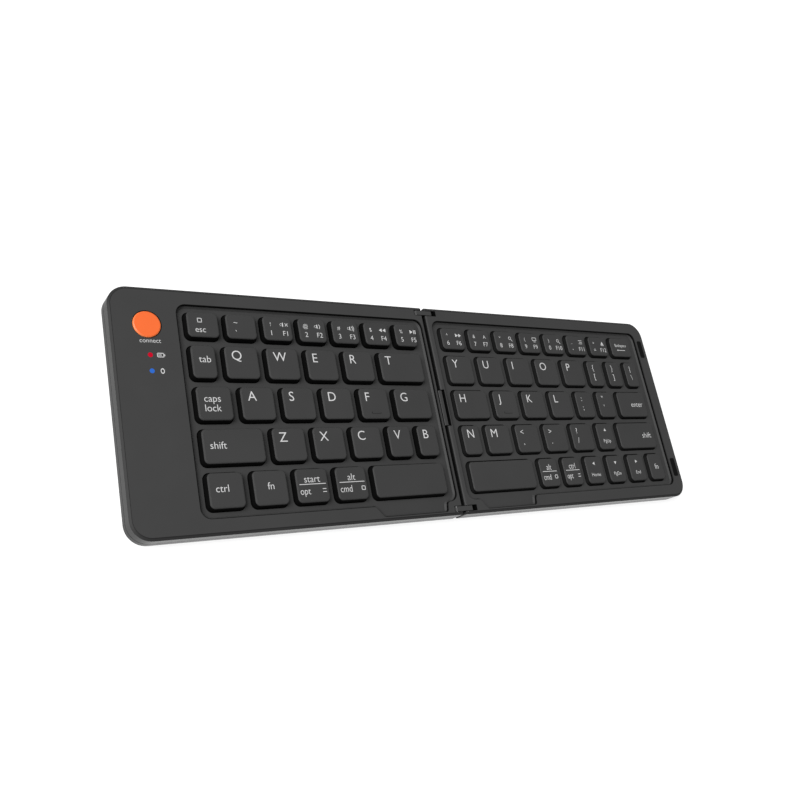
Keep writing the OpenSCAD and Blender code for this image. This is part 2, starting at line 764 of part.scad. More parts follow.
module plate_outline(side) {
    margin = 2.15;
    translate([keys_x0[side] - margin, well_y0 + row_margin - margin])
        round_rect(keys_span[side] + 2 * margin, keys_d + 2 * margin, well_r);
}

module support_plate(side) {
    window = lift_w / 2;
    color(steel) difference() {
        translate([0, 0, plate_z]) linear_extrude(plate_t) plate_outline(side);
        at_keys(side) for (s = [-1, 1])
            translate([s * window * 0.6 - 0.5, -window * 0.8, plate_z - over])
                cube([1, 1.6 * window, plate_t + 2 * over]);
    }
}

module membrane(side) {
    color(film) translate([0, 0, membrane_z]) linear_extrude(membrane_t) plate_outline(side);
}

module domes(side) {
    color([0.8, 0.8, 0.78]) at_keys(side) translate([0, 0, switch_z]) rotate_extrude()
        polygon([[0, 0], [dome_r, 0], [dome_r, 0.3], [dome_r * 0.8, 0.5], [dome_r * 0.55, dome_h - 0.3],
            [dome_r * 0.45, dome_h], [0, dome_h]]);
}

// Flat ring of a scissor lift, leaning by an angle about its middle
module lift_ring(w, l, angle) {
    rotate([angle, 0, 0]) difference() {
        cube([w, l, lift_bar], center = true);
        cube([w - 2 * lift_bar, l - 2 * lift_bar, lift_bar + over], center = true);
    }
}

module scissor_lifts(side) {
    ring_gap = 0.15;
    inner_w = lift_w - 2 * lift_bar - 2 * ring_gap;
    inner_l = lift_l - 2 * lift_bar - 4 * ring_gap;
    mid_z = switch_z + lift_l / 2 * sin(lift_angle) + lift_bar / 2 * cos(lift_angle);
    color([0.85, 0.85, 0.83]) at_keys(side) translate([0, 0, mid_z]) {
        lift_ring(lift_w, lift_l, lift_angle);
        lift_ring(inner_w, inner_l, -lift_angle);
        for (s = [-1, 1]) translate([s * (inner_w + ring_gap) / 2, 0, 0]) rotate([0, 90, 0])
            cylinder(h = 2 * ring_gap, r = lift_bar * 0.35, center = true);
    }
}

module battery() {
    color([0.75, 0.76, 0.78]) translate([button_x - battery_w / 2, battery_y1 - battery_l, floor_z])
        soft_block(battery_w, battery_l, 1.5, [[0, 0], [0, battery_t - 0.5], [0.5, battery_t]]);
}

// Board with its controller, its button switch and the two lamps under the light pipes
module control_board() {
    color([0.1, 0.35, 0.2]) {
        translate([board_x0, board_y0, board_z]) cube([board_w, board_l, board_t]);
        translate([board_x0 + 1.5, board_y0 + 5, board_top_z]) cube([5, 5, chip_h]);
        translate([button_x - 2, button_y - 2, board_top_z]) cube([4, 4, tact_h]);
        for (y = light_y) translate([button_x - 0.8, y - 0.5, board_top_z]) cube([1.6, 1, lamp_h]);
    }
}

// Flat bar with round ends
module stadium(half_w, half_h) {
    square([2 * (half_w - half_h), 2 * half_h], center = true);
    for (s = [-1, 1]) translate([s * (half_w - half_h), 0]) circle(half_h);
}

// The port's outline, carried forward from a place along Y
module port_shape(half_w, half_h, y, l) {
    translate([port_x, y, port_z]) rotate([90, 0, 0]) linear_extrude(l) stadium(half_w, half_h);
}

module charge_port() {
    tongue_w = port_w - 2.4;
    tongue_start = 1;
    color(steel) {
        difference() {
            port_shape(port_w / 2, port_h / 2, port_y1, port_l);
            port_shape(port_w / 2 - port_wall, port_h / 2 - port_wall, port_y1 + over,
                port_l - port_wall + over);
        }
        translate([port_x - tongue_w / 2, port_y1 - port_l + port_wall / 2, port_z - port_tongue / 2])
            cube([tongue_w, port_l - port_wall / 2 - tongue_start, port_tongue]);
    }
}

module connect_button() {
    z1 = top_z + button_rise;
    edge = 0.5;
    color([0.95, 0.4, 0.15]) translate([button_x, button_y, 0]) rotate_extrude()
        polygon([[0, button_foot_z], [button_r + button_flange, button_foot_z],
            [button_r + button_flange, flange_z], [button_r, flange_z], [button_r, z1 - edge],
            [button_r - 0.3 * edge, z1 - 0.3 * edge], [button_r - edge, z1], [0, z1]]);
}

module light(i) {
    color(i == 0 ? [0.85, 0.1, 0.15] : [0.2, 0.45, 0.8]) translate([button_x, light_y[i], 0])
        rotate_extrude() polygon([[0, board_top_z + lamp_h], [light_r + 0.6, board_top_z + lamp_h],
            [light_r + 0.6, deck_z], [light_r, deck_z], [light_r, top_z], [0, top_z]]);
}

module hinge_links() {
    color(frame_black) for (y = [front_y + link_inset, back_y - link_inset])
        translate([0, y, pivot_z]) rotate([90, 0, 0]) difference() {
            union() {
                intersection() {
                    for (x = pivot_x) translate([x, 0, 0])
                        cylinder(h = link_t, r = link_end_r, center = true);
                    translate([pivot_x[LEFT] - 2 * link_r, -link_r, -link_t])
                        cube([pivot_x[RIGHT] - pivot_x[LEFT] + 4 * link_r, 2 * link_r, 2 * link_t]);
                }
                translate([pivot_x[LEFT], -link_r, -link_t / 2])
                    cube([pivot_x[RIGHT] - pivot_x[LEFT], 2 * link_r, link_t]);
            }
            for (x = pivot_x) translate([x, 0, 0]) cylinder(h = link_t + over, r = pin_r, center = true);
        }
}

module hinge_pins() {
    pin_l = link_t + 2 * pin_hold + 2 * link_clearance - 2 * pin_end_gap;
    color(steel) for (y = [front_y + link_inset, back_y - link_inset]) for (x = pivot_x)
        translate([x, y, pivot_z]) rotate([90, 0, 0]) cylinder(h = pin_l, r = pin_r, center = true);
}

// Cover of the ribbon cable, held in the left half's wall and standing in the right half's notch
module cable_tongue() {
    nose_z = top_z - tongue_drop;
    nose_x0 = tongue_x1 - tongue_body;
    root_x = left_x1 - wall_t;
    y0 = tongue_l / 2;
    color(frame_black) difference() {
        translate([0, y0, 0]) rotate([90, 0, 0]) linear_extrude(tongue_l) polygon([
            [root_x, tongue_low_z], [tongue_x1, tongue_low_z],
            [tongue_x1, nose_z - tongue_bevel], [tongue_x1 - tongue_bevel, nose_z],
            [nose_x0 + tongue_bevel / 2, nose_z], [nose_x0, nose_z - tongue_bevel / 2],
            [nose_x0, tongue_neck_z], [root_x, tongue_neck_z]]);
        translate([root_x - over, -ribbon_w / 2, slit_z])
            cube([tongue_x1 - root_x + 2 * over, ribbon_w, ribbon_t]);
    }
}

// Ribbon cable from the control board to the tongue
module ribbon_cable() {
    x0 = board_x0 + board_w;
    x1 = left_x1 - wall_t - 1;
    low_z = floor_z;
    rise = 0.8;
    leg_w = 3.4;
    leg_y1 = board_y0 + 5;
    color([0.75, 0.5, 0.2]) {
        translate([0, ribbon_w / 2, 0]) rotate([90, 0, 0]) linear_extrude(ribbon_w)
            polygon([[x0, low_z], [x1, low_z], [x1 + rise, slit_z], [tongue_x1, slit_z],
                [tongue_x1, slit_z + ribbon_t], [x1 + rise - ribbon_t, slit_z + ribbon_t],
                [x1 - ribbon_t, low_z + ribbon_t], [x0, low_z + ribbon_t]]);
        translate([x0, -ribbon_w / 2, low_z]) cube([leg_w, leg_y1 + ribbon_w / 2, ribbon_t]);
    }
}

module pad_outline() {
    translate([-pad_w / 2, -pad_l / 2]) round_rect(pad_w, pad_l, pad_r);
}

module at_pads() {
    for (y = [-pad_y, pad_y]) translate([pad_x, y, top_z - pad_seat]) children();
}

module rest_pads() {
    color(rubber_black) at_pads() linear_extrude(pad_seat + pad_rise) pad_outline();
}

module feet(side) {
    height = foot_h + foot_seat;
    color(rubber_black) at_feet(side) rotate_extrude()
        polygon([[0, 0], [foot_r - 0.3, 0], [foot_r, 0.3], [foot_r, height], [0, height]]);
}

module screws(side) {
    length = deck_z - base_z;
    color(steel) at_screws(side) translate([0, 0, base_z]) rotate_extrude()
        polygon([[0, 0.3], [0.6, 0.3], [0.6, 0], [screw_head_r, 0], [screw_r, screw_head_r - screw_r],
            [screw_r, length], [0, length]]);
}

color(case_grey) bottom_shell(LEFT);  // left_bottom_shell
color(frame_black) top_frame(LEFT);  // left_top_frame
support_plate(LEFT);  // left_support_plate
membrane(LEFT);  // left_membrane
domes(LEFT);  // left_domes
scissor_lifts(LEFT);  // left_scissor_lifts
color(case_grey) bottom_shell(RIGHT);  // right_bottom_shell
color(frame_black) top_frame(RIGHT);  // right_top_frame
support_plate(RIGHT);  // right_support_plate
membrane(RIGHT);  // right_membrane
domes(RIGHT);  // right_domes
scissor_lifts(RIGHT);  // right_scissor_lifts
battery();
control_board();
charge_port();
connect_button();
light(0);  // power_light
light(1);  // link_light
hinge_links();
hinge_pins();
cable_tongue();
ribbon_cable();
rest_pads();
feet(LEFT);  // left_feet
feet(RIGHT);  // right_feet
screws(LEFT);  // left_screws
screws(RIGHT);  // right_screws
keys(["q"]);  // q_key
keys(["w"]);  // w_key
keys(["e"]);  // e_key
keys(["r"]);  // r_key
keys(["t"]);  // t_key
keys(["a"]);  // a_key
keys(["s"]);  // s_key
keys(["d"]);  // d_key
keys(["f"]);  // f_key
keys(["g"]);  // g_key
keys(["z"]);  // z_key
keys(["x"]);  // x_key
keys(["c"]);  // c_key
keys(["v"]);  // v_key
keys(["b"]);  // b_key
keys(["left_space"]);  // left_space_key
keys(["y"]);  // y_key
keys(["u"]);  // u_key
keys(["i"]);  // i_key
keys(["o"]);  // o_key
keys(["p"]);  // p_key
keys(["h"]);  // h_key
keys(["j"]);  // j_key
keys(["k"]);  // k_key
keys(["l"]);  // l_key
keys(["n"]);  // n_key
keys(["m"]);  // m_key
keys(["right_space"]);  // right_space_key
keys(key_names[LEFT][NUMBER_ROW]);  // left_number_keys
keys(["tab", "caps_lock", "left_shift", "left_ctrl", "left_fn", "start", "left_alt"]);  // left_side_keys
keys(key_names[RIGHT][NUMBER_ROW]);  // right_number_keys
keys(["bracket_left", "bracket_right", "backslash", "semicolon", "quote", "comma", "period", "slash"]);  // symbol_keys
keys(["enter", "right_shift", "arrow_up", "right_alt", "right_ctrl", "arrow_left", "arrow_down",  // right_side_keys
        "arrow_right", "right_fn"]);
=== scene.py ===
# %% [markdown]
# # A folding keyboard, dressed for its picture
# The two halves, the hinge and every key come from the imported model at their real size. This lesson gives
# them their finishes: fine moulded plastic, printed legends, a satin orange button and two small lights.
# Everything is in metres, and small sizes are written in millimetres and multiplied by MM.

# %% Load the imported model
import json
import math

import bmesh
import bpy
from mathutils import Matrix, Quaternion, Vector


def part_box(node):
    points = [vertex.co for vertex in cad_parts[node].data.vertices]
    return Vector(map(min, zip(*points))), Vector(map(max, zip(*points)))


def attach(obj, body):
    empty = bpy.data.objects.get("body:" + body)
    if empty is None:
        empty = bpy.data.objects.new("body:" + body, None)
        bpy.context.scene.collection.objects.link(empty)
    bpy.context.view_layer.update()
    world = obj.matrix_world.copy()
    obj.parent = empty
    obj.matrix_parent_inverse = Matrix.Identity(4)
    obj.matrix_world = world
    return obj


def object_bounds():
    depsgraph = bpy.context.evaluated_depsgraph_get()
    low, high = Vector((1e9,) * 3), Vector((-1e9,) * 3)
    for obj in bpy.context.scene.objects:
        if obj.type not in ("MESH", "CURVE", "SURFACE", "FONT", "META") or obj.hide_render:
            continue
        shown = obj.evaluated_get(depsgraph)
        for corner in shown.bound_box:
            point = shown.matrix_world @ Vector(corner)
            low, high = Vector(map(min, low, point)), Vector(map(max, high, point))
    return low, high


MM = 0.001
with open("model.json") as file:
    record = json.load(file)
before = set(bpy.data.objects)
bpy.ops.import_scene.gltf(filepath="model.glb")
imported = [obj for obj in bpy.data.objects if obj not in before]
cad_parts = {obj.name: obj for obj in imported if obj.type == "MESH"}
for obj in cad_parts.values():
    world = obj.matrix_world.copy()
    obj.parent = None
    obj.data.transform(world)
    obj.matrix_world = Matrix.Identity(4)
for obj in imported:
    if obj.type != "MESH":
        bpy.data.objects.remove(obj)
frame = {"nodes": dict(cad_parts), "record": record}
cad_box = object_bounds()
nodes = frame["nodes"]
print("nodes", len(nodes), "box in mm", [[round(v / MM, 2) for v in corner] for corner in cad_box])

# %% [markdown]
# ## The camera
# The picture was taken from the left, in front and well above, with the camera rolled so that the long
# side runs almost level. A long-ish lens on a 36 mm sensor keeps the two halves nearly parallel. The
# place and the three angles are given one by one, because a tracking constraint can't give a roll.

# %% Camera
CAMERA_PLACE = Vector((-239.02, -105.37, 309.77)) * MM
CAMERA_AZIMUTH = math.radians(-63.17)
CAMERA_ELEVATION = math.radians(51.30)
CAMERA_ROLL = math.radians(57.29)
LENS_MM = 39.93
SENSOR_MM = 36.0
NEAREST_SEEN = 0.01

camera_data = bpy.data.cameras.new("camera")
camera_data.lens = LENS_MM
camera_data.sensor_width = SENSOR_MM
camera_data.clip_start = NEAREST_SEEN
camera = bpy.data.objects.new("camera", camera_data)
bpy.context.scene.collection.objects.link(camera)
back = Vector((
    math.sin(CAMERA_AZIMUTH) * math.cos(CAMERA_ELEVATION),
    -math.cos(CAMERA_AZIMUTH) * math.cos(CAMERA_ELEVATION),
    math.sin(CAMERA_ELEVATION)))
camera.location = CAMERA_PLACE
camera.rotation_mode = "QUATERNION"
camera.rotation_quaternion = (-back).to_track_quat("-Z", "Y") @ Quaternion((0, 0, 1), CAMERA_ROLL)
bpy.context.scene.camera = camera
bpy.context.scene.view_settings.view_transform = "Standard"
print("camera looks along", [round(v, 3) for v in -back])

# %% [markdown]
# ## Floor and light
# A product like this is shot on a white sweep under a large soft box. Here the sweep is one plain floor
# that glows a little, so that it stays pure white right up to the case. The sky is an even white, and
# one area light up at the left stands for the box. It is wide, so the matte plastic shows no hard spot.

# %% Floor
FLOOR_SIZE = 6.0
FLOOR_GREY = (0.32, 0.32, 0.32, 1)
FLOOR_ROUGHNESS = 0.9
FLOOR_GLOW = 0.72

floor_mesh = bpy.data.meshes.new("floor")
half = FLOOR_SIZE / 2
floor_mesh.from_pydata(
    [(-half, -half, 0), (half, -half, 0), (half, half, 0), (-half, half, 0)], [], [(0, 1, 2, 3)])
floor = bpy.data.objects.new("floor", floor_mesh)
bpy.context.scene.collection.objects.link(floor)
floor_paint = bpy.data.materials.new("floor_paint")
floor_paint.use_nodes = True
floor_shader = floor_paint.node_tree.nodes["Principled BSDF"]
floor_shader.inputs["Base Color"].default_value = FLOOR_GREY
floor_shader.inputs["Roughness"].default_value = FLOOR_ROUGHNESS
floor_shader.inputs["Emission Color"].default_value = (1, 1, 1, 1)
floor_shader.inputs["Emission Strength"].default_value = FLOOR_GLOW
floor_mesh.materials.append(floor_paint)
print("floor", FLOOR_SIZE, "m wide")

# %% Sky and soft box
SKY_STRENGTH = 0.45
SOFT_BOXES = {
    # name: (place, aim, width, height, power in watts)
    "main_box": ((-1.9, 0.3, 2.0), (0, 0, 0), 1.8, 1.8, 130.0),
}

world = bpy.data.worlds.new("studio")
bpy.context.scene.world = world
world.use_nodes = True
sky = world.node_tree.nodes["Background"]
sky.inputs["Color"].default_value = (1, 1, 1, 1)
sky.inputs["Strength"].default_value = SKY_STRENGTH
for name, (place, aim, width, height, power) in SOFT_BOXES.items():
    light = bpy.data.lights.new(name, "AREA")
    light.shape = "RECTANGLE"
    light.size, light.size_y, light.energy = width, height, power
    box = bpy.data.objects.new(name, light)
    box.location = place
    box.rotation_mode = "QUATERNION"
    box.rotation_quaternion = (Vector(aim) - Vector(place)).to_track_quat("-Z", "Y")
    bpy.context.scene.collection.objects.link(box)
print("lights", list(SOFT_BOXES))

# %% [markdown]
# ## One group for moulded grain
# Plastic cases are moulded in tools with a fine sparked texture, so light breaks up on them. Several
# materials need it, so it is one node group: it gives a height for the bump, a roughness that varies
# a little, and a faint mottling for the colour.

# %% Helpers that build node trees
def add_node(tree, kind, **values):
    """One node, with its properties or its inputs set by name."""
    node = tree.nodes.new(kind)
    for key, value in values.items():
        if hasattr(node, key):
            setattr(node, key, value)
        else:
            node.inputs[key.replace("_", " ")].default_value = value
    return node


def new_group(name, inputs, outputs):
    """An empty shader group with named float inputs and outputs."""
    group = bpy.data.node_groups.new(name, "ShaderNodeTree")
    for label, value in inputs.items():
        socket = group.interface.new_socket(label, in_out="INPUT", socket_type="NodeSocketFloat")
        socket.default_value = value
    for label in outputs:
        group.interface.new_socket(label, in_out="OUTPUT", socket_type="NodeSocketFloat")
    return group, group.nodes.new("NodeGroupInput"), group.nodes.new("NodeGroupOutput")


# %% The moulded grain group
BROAD_SCALE = 45.0

grain_group, grain_in, grain_out = new_group(
    "moulded_grain",
    {"Grain size": 2500.0, "Roughness": 0.5, "Roughness change": 0.08},
    ("Height", "Roughness", "Mottle"))
links = grain_group.links
place = add_node(grain_group, "ShaderNodeTexCoord")
fine = add_node(grain_group, "ShaderNodeTexNoise", Detail=2.0)
broad = add_node(grain_group, "ShaderNodeTexNoise", Scale=BROAD_SCALE, Detail=3.0)
links.new(place.outputs["Object"], fine.inputs["Vector"])
links.new(place.outputs["Object"], broad.inputs["Vector"])
links.new(grain_in.outputs["Grain size"], fine.inputs["Scale"])
change = add_node(grain_group, "ShaderNodeMath", operation="MULTIPLY_ADD")
links.new(broad.outputs["Fac"], change.inputs[0])
links.new(grain_in.outputs["Roughness change"], change.inputs[1])
links.new(grain_in.outputs["Roughness"], change.inputs[2])
links.new(fine.outputs["Fac"], grain_out.inputs["Height"])
links.new(change.outputs[0], grain_out.inputs["Roughness"])
links.new(broad.outputs["Fac"], grain_out.inputs["Mottle"])
print("group", grain_group.name, "nodes", len(grain_group.nodes))

# %% [markdown]
# ## One group for painted side shade
# Walls that stand upright between keys and parts see little light, so their shade is painted into the
# colour: upright faces are given a near-black colour. The group gives 1 on faces that look up and 0 on
# upright ones, from the surface's own direction and not the camera's.

# %% The painted side shade mask group
side_shade_group, side_shade_in, side_shade_out = new_group(
    "painted_side_shade", {"Low": 0.15, "High": 0.85}, ("Mask",))
links = side_shade_group.links
place = add_node(side_shade_group, "ShaderNodeTexCoord")
split = add_node(side_shade_group, "ShaderNodeSeparateXYZ")
ramp = add_node(side_shade_group, "ShaderNodeMapRange", interpolation_type="SMOOTHSTEP")
links.new(place.outputs["Normal"], split.inputs[0])
links.new(split.outputs["Z"], ramp.inputs["Value"])
links.new(side_shade_in.outputs["Low"], ramp.inputs["From Min"])
links.new(side_shade_in.outputs["High"], ramp.inputs["From Max"])
links.new(ramp.outputs["Result"], side_shade_out.inputs["Mask"])
print("group", side_shade_group.name, "nodes", len(side_shade_group.nodes))

# %% [markdown]
# ## One group for the painted rim shade
# A thin darker line is painted round the top along the case's bevel: painted shade, as in a shadow gap at
# the edge. The group measures how far a point lies inside the outline, a rectangle with round corners, and
# gives 1 on the narrow band along it. It uses the model's own millimetres, so nothing has to be drawn by
# hand.

# %% The painted rim shade group
rim_shade_group, rim_in, rim_out = new_group(
    "painted_rim_shade",
    {"Half length": 0.146, "Half depth": 0.049, "Corner": 0.008,
     "Band start": -0.001, "Band end": 0.001},
    ("Mask",))


def rim_math(operation, *values):
    """One math node of the rim group; values are sockets or numbers."""
    node = add_node(rim_shade_group, "ShaderNodeMath", operation=operation)
    for socket, value in zip(node.inputs, values):
        if isinstance(value, bpy.types.NodeSocket):
            rim_shade_group.links.new(value, socket)
        else:
            socket.default_value = value
    return node.outputs[0]


place = add_node(rim_shade_group, "ShaderNodeTexCoord")
split = add_node(rim_shade_group, "ShaderNodeSeparateXYZ")
rim_shade_group.links.new(place.outputs["Object"], split.inputs[0])
beyond = []
for axis, half_size in (("X", "Half length"), ("Y", "Half depth")):
    away = rim_math("ABSOLUTE", split.outputs[axis])
    straight = rim_math("SUBTRACT", rim_in.outputs[half_size], rim_in.outputs["Corner"])
    beyond.append(rim_math("SUBTRACT", away, straight))
corner_x, corner_y = (rim_math("MAXIMUM", value, 0.0) for value in beyond)
squares = rim_math(
    "ADD", rim_math("MULTIPLY", corner_x, corner_x), rim_math("MULTIPLY", corner_y, corner_y))
nearest = rim_math("MINIMUM", rim_math("MAXIMUM", *beyond), 0.0)
outward = rim_math("ADD", rim_math("SQRT", squares), nearest)
inside = rim_math("SUBTRACT", rim_in.outputs["Corner"], outward)
past_start = rim_math("GREATER_THAN", inside, rim_in.outputs["Band start"])
before_end = rim_math("LESS_THAN", inside, rim_in.outputs["Band end"])
rim_shade_group.links.new(rim_math("MULTIPLY", past_start, before_end), rim_out.inputs["Mask"])
print("group", rim_shade_group.name, "nodes", len(rim_shade_group.nodes))

# %% [markdown]
# ## Plastics
# Each plastic is one Principled shader fed by the grain group. Some have painted shade, a near-black
# colour on their upright faces mixed in by a mask, and the frame has painted shade along its rim too.
# The shell is glossier and mirrors the floor. Its two short ends are given a rougher finish than its long
# sides. That is a guess, which brings both walls to the tone that they have in the picture.

# %% Plastic materials
MOTTLE = (0.9, 1.1)
GRAIN_HEIGHT = 0.02 * MM


def plain_material(name, color, roughness=0.5, **sockets):
    """A Principled material whose other sockets are set by name."""
    material = bpy.data.materials.new(name)
    material.use_nodes = True
    shader = material.node_tree.nodes["Principled BSDF"]
    shader.inputs["Base Color"].default_value = (*color, 1)
    shader.inputs["Roughness"].default_value = roughness
    for key, value in sockets.items():
        shader.inputs[key.replace("_", " ")].default_value = value
    return material


def mix_color(tree, factor, low, high):
    """A colour that goes from low to high as factor goes from 0 to 1."""
    mix = tree.nodes.new("ShaderNodeMix")
    mix.data_type = "RGBA"
    tree.links.new(factor, mix.inputs["Factor"])
    for socket, color in ((mix.inputs[6], low), (mix.inputs[7], high)):
        if isinstance(color, bpy.types.NodeSocket):
            tree.links.new(color, socket)
        else:
            socket.default_value = (*color, 1)
    return mix.outputs[2]


def moulded(name, color, side_shade_color=None, roughness=0.5, change=0.08, grain=2500.0, depth=0.12,
            upward=(0.15, 0.85), **sockets):
    """Moulded plastic with grain, and painted shade in another colour on upright faces where a side colour
    is given.
    """
    material = plain_material(name, color, roughness, **sockets)
    tree = material.node_tree
    shader = tree.nodes["Principled BSDF"]
    grain_node = add_node(tree, "ShaderNodeGroup", node_tree=grain_group)
    grain_node.inputs["Grain size"].default_value = grain
    grain_node.inputs["Roughness"].default_value = roughness - change / 2
    grain_node.inputs["Roughness change"].default_value = change
    darker, lighter = (tuple(share * c for c in color) for share in MOTTLE)
    tint = mix_color(tree, grain_node.outputs["Mottle"], darker, lighter)
    # Painted shade: upright faces take the side colour.
    if side_shade_color:
        mask = add_node(tree, "ShaderNodeGroup", node_tree=side_shade_group)
        mask.inputs["Low"].default_value, mask.inputs["High"].default_value = upward
        tint = mix_color(tree, mask.outputs["Mask"], side_shade_color, tint)
    bump = add_node(tree, "ShaderNodeBump", Strength=depth, Distance=GRAIN_HEIGHT)
    tree.links.new(tint, shader.inputs["Base Color"])
    tree.links.new(grain_node.outputs["Roughness"], shader.inputs["Roughness"])
    tree.links.new(grain_node.outputs["Height"], bump.inputs["Height"])
    tree.links.new(bump.outputs["Normal"], shader.inputs["Normal"])
    return material


def dull_ends(material, extra):
    """Adds roughness on the faces that look along X, the short ends of the case."""
    tree = material.node_tree
    roughness = tree.nodes["Principled BSDF"].inputs["Roughness"]
    place = add_node(tree, "ShaderNodeTexCoord")
    split = add_node(tree, "ShaderNodeSeparateXYZ")
    sideways = add_node(tree, "ShaderNodeMath", operation="ABSOLUTE")
    added = add_node(tree, "ShaderNodeMath", operation="MULTIPLY_ADD")
    tree.links.new(place.outputs["Normal"], split.inputs[0])
    tree.links.new(split.outputs["X"], sideways.inputs[0])
    tree.links.new(sideways.outputs[0], added.inputs[0])
    added.inputs[1].default_value = extra
    tree.links.new(roughness.links[0].from_socket, added.inputs[2])
    tree.links.new(added.outputs[0], roughness)


SOFT = {"Specular_IOR_Level": 0.12}
# Near-black painted shade, for upright faces and the bands along the frame's rim.
PAINTED_SHADE = (0.0012, 0.0012, 0.0012)
END_ROUGHNESS = 0.2
finishes = {
    "top_frame": moulded("frame_plastic", (0.0325, 0.0325, 0.0325), PAINTED_SHADE, 0.55,
                         upward=(0.715, 0.77), **SOFT),
    "keycap": moulded("key_plastic", (0.031, 0.031, 0.031), PAINTED_SHADE, 0.55, **SOFT),
    "case_shell": moulded("shell_plastic", (0.008, 0.008, 0.008), None, 0.25,
                          grain=1800.0, Specular_IOR_Level=0.25),
    "tongue": moulded("tongue_plastic", (0.032, 0.032, 0.032), PAINTED_SHADE, 0.5, **SOFT),
    "button": moulded("button_plastic", (0.62, 0.1, 0.015), None, 0.42, depth=0.04),
    "lift": moulded("lift_plastic", (0.03, 0.03, 0.03)),
    "dome": moulded("dome_rubber", (0.25, 0.25, 0.24), None, 0.6),
    "pad": moulded("pad_rubber", (0.0015, 0.0015, 0.0015), None, 0.8,
                   depth=0.3, Specular_IOR_Level=0.1),
    "foot": moulded("foot_rubber", (0.008, 0.008, 0.008), None, 0.7, depth=0.3),
    "film": moulded("film_print", (0.004, 0.004, 0.005), None, 0.5),
    "ribbon": moulded("ribbon_film", (0.4, 0.17, 0.03), None, 0.3),
    "board": moulded("board_lacquer", (0.01, 0.09, 0.04), None, 0.3),
    "battery": moulded("battery_foil", (0.5, 0.51, 0.53), None, 0.35, Metallic=0.8),
}
dull_ends(finishes["case_shell"], END_ROUGHNESS)
print("plastics", len(finishes))

# %% [markdown]
# ## Metals and lights
# The links are black metal, the port, plates, pins and screws are steel. The two light pipes are clear
# plastic that glows faintly from the lamp below.

# %% Metals and light pipes
LIGHT_GLOW = 0.35
LIGHT_COLORS = {"red_light": (1.25, 0.004, 0.045, 1), "blue_light": (0.01, 0.15, 0.8, 1)}

finishes["hinge_link"] = moulded("link_metal", (0.034, 0.034, 0.034), PAINTED_SHADE, 0.5, **SOFT)
finishes["plate"] = moulded("plate_steel", (0.5, 0.51, 0.52), None, 0.4, Metallic=1.0)
finishes["pin"] = moulded("pin_steel", (0.55, 0.55, 0.56), None, 0.25, Metallic=1.0)
finishes["port"] = moulded("port_steel", (0.6, 0.61, 0.62), None, 0.25, Metallic=1.0)
finishes["screw"] = moulded("screw_steel", (0.05, 0.05, 0.052), None, 0.35, Metallic=1.0)
finishes["red_light"] = moulded("red_pipe", (0.1, 0.0005, 0.004), None, 0.4, Specular_IOR_Level=0.05)
finishes["blue_light"] = moulded("blue_pipe", (0.006, 0.05, 0.2), None, 0.3)
for slot_name, glow in LIGHT_COLORS.items():
    shader = finishes[slot_name].node_tree.nodes["Principled BSDF"]
    shader.inputs["Emission Color"].default_value = glow
    shader.inputs["Emission Strength"].default_value = LIGHT_GLOW

# %% [markdown]
# ## The painted rim shade and the button's painted light
# Two bands of painted shade lie along the frame's rim, a wide faint one and a thin dark one inside it,
# each given by its start and end inside the outline. The button's edge falls away into its hole, so its
# outermost ring is painted dark as shade, and the ring inside it is a painted highlight.

# %% Painted rim shade and button rings
RIM_SHADE_BANDS = ((-1.0, 0.85, 0.45), (0.85, 1.15, 0.7))  # start and end in mm, share of the painted shade colour
BUTTON_LIGHT_AND_SHADE_RINGS = (  # middle inside the edge and half width in mm, colour
    # painted highlight on the ring just inside the edge
    (0.95, 0.22, (0.75, 0.2, 0.06)),
    # painted shade on the outermost ring
    (0.0, 0.42, (0.1, 0.012, 0.004)),
)


def add_rim_shade(material, start, end, share, rim_shade_color):
    """Mixes painted shade in another colour into a material's base, on a band from start to end inside the
    outline.
    """
    tree = material.node_tree
    shader = tree.nodes["Principled BSDF"]
    base_tint = shader.inputs["Base Color"].links[0].from_socket
    rim = add_node(tree, "ShaderNodeGroup", node_tree=rim_shade_group)
    rim.inputs["Half length"].default_value = cad_box[1][0]
    rim.inputs["Half depth"].default_value = cad_box[1][1]
    rim.inputs["Band start"].default_value = start
    rim.inputs["Band end"].default_value = end
    weight = add_node(tree, "ShaderNodeMath", operation="MULTIPLY")
    weight.inputs[1].default_value = share
    tree.links.new(rim.outputs["Mask"], weight.inputs[0])
    tree.links.new(mix_color(tree, weight.outputs[0], base_tint, rim_shade_color), shader.inputs["Base Color"])


# Painted shade along the frame's rim, in two bands.
for start, end, share in RIM_SHADE_BANDS:
    add_rim_shade(finishes["top_frame"], start * MM, end * MM, share, PAINTED_SHADE)

button_low, button_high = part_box("connect_button")
button_middle = (button_low + button_high) / 2
button_radius = (button_high.x - button_low.x) / 2
tree = finishes["button"].node_tree
shader = tree.nodes["Principled BSDF"]
base_tint = shader.inputs["Base Color"].links[0].from_socket
place = add_node(tree, "ShaderNodeTexCoord")
flat = add_node(tree, "ShaderNodeVectorMath", operation="MULTIPLY_ADD")
flat.inputs[1].default_value = (1, 1, 0)
flat.inputs[2].default_value = (-button_middle.x, -button_middle.y, 0)
reach = add_node(tree, "ShaderNodeVectorMath", operation="LENGTH")
tree.links.new(place.outputs["Object"], flat.inputs[0])
tree.links.new(flat.outputs[0], reach.inputs[0])
# The rings paint a highlight and a shade into the button's colour.
for inset, half_width, color in BUTTON_LIGHT_AND_SHADE_RINGS:
    ring = add_node(tree, "ShaderNodeMath", operation="COMPARE")
    ring.inputs[1].default_value = button_radius - inset * MM
    ring.inputs[2].default_value = half_width * MM
    tree.links.new(reach.outputs["Value"], ring.inputs[0])
    base_tint = mix_color(tree, ring.outputs[0], base_tint, color)
tree.links.new(base_tint, shader.inputs["Base Color"])
print("button radius in mm", round(button_radius / MM, 2))

